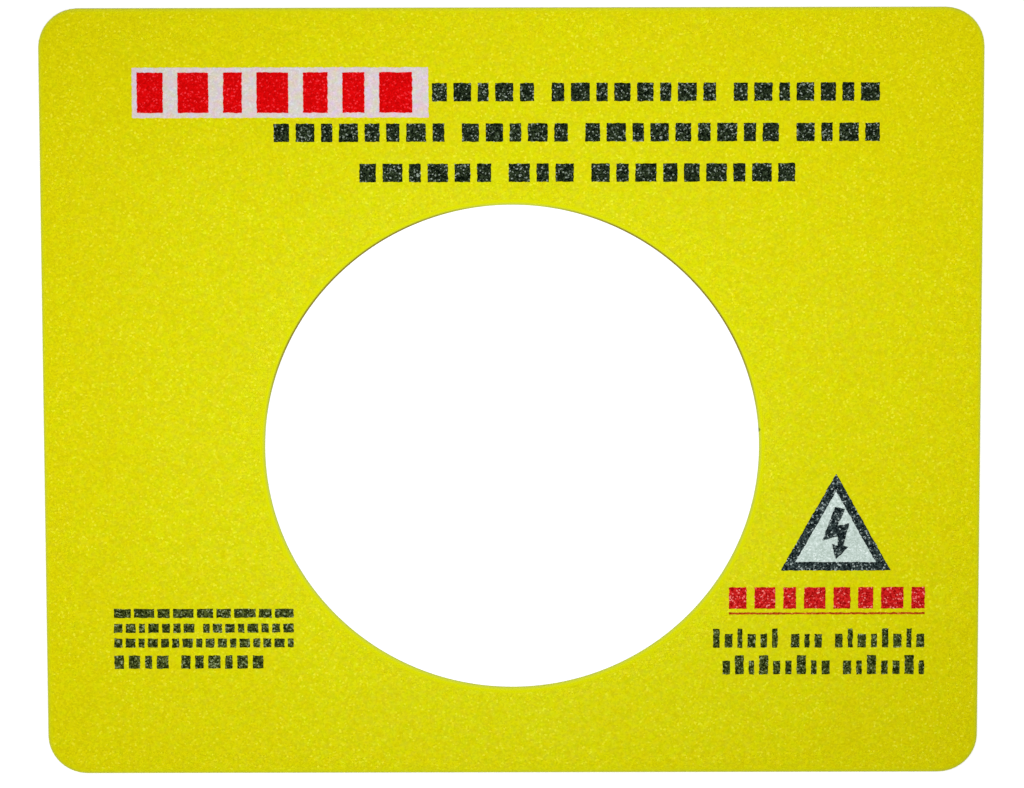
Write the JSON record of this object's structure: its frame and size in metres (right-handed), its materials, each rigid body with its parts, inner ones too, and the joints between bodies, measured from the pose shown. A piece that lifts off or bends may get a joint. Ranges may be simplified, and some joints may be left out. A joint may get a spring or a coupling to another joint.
{
  "type": "warning label",
  "caption": "Flat die-cut yellow label with a large round hole, a printed header panel, rows of plain print blocks and a hazard triangle, for sticking round a panel indicator.",
  "frame": {"origin": "centre of the round hole, on the label's back face", "axes": "+Z out of the printed face, +Y towards the print's top edge, +X to the print's right"},
  "size_m": [0.0762, 0.0635, 0.0003],
  "materials": {
    "yellow_film": "velvet",
    "white_ink": "matte",
    "red_ink": "matte",
    "black_ink": "matte"
  },
  "bodies": {
    "root": {"label_sheet": "yellow_film", "white_ink": "white_ink", "red_ink": "red_ink", "black_ink": "black_ink"}
  },
  "joints": []
}
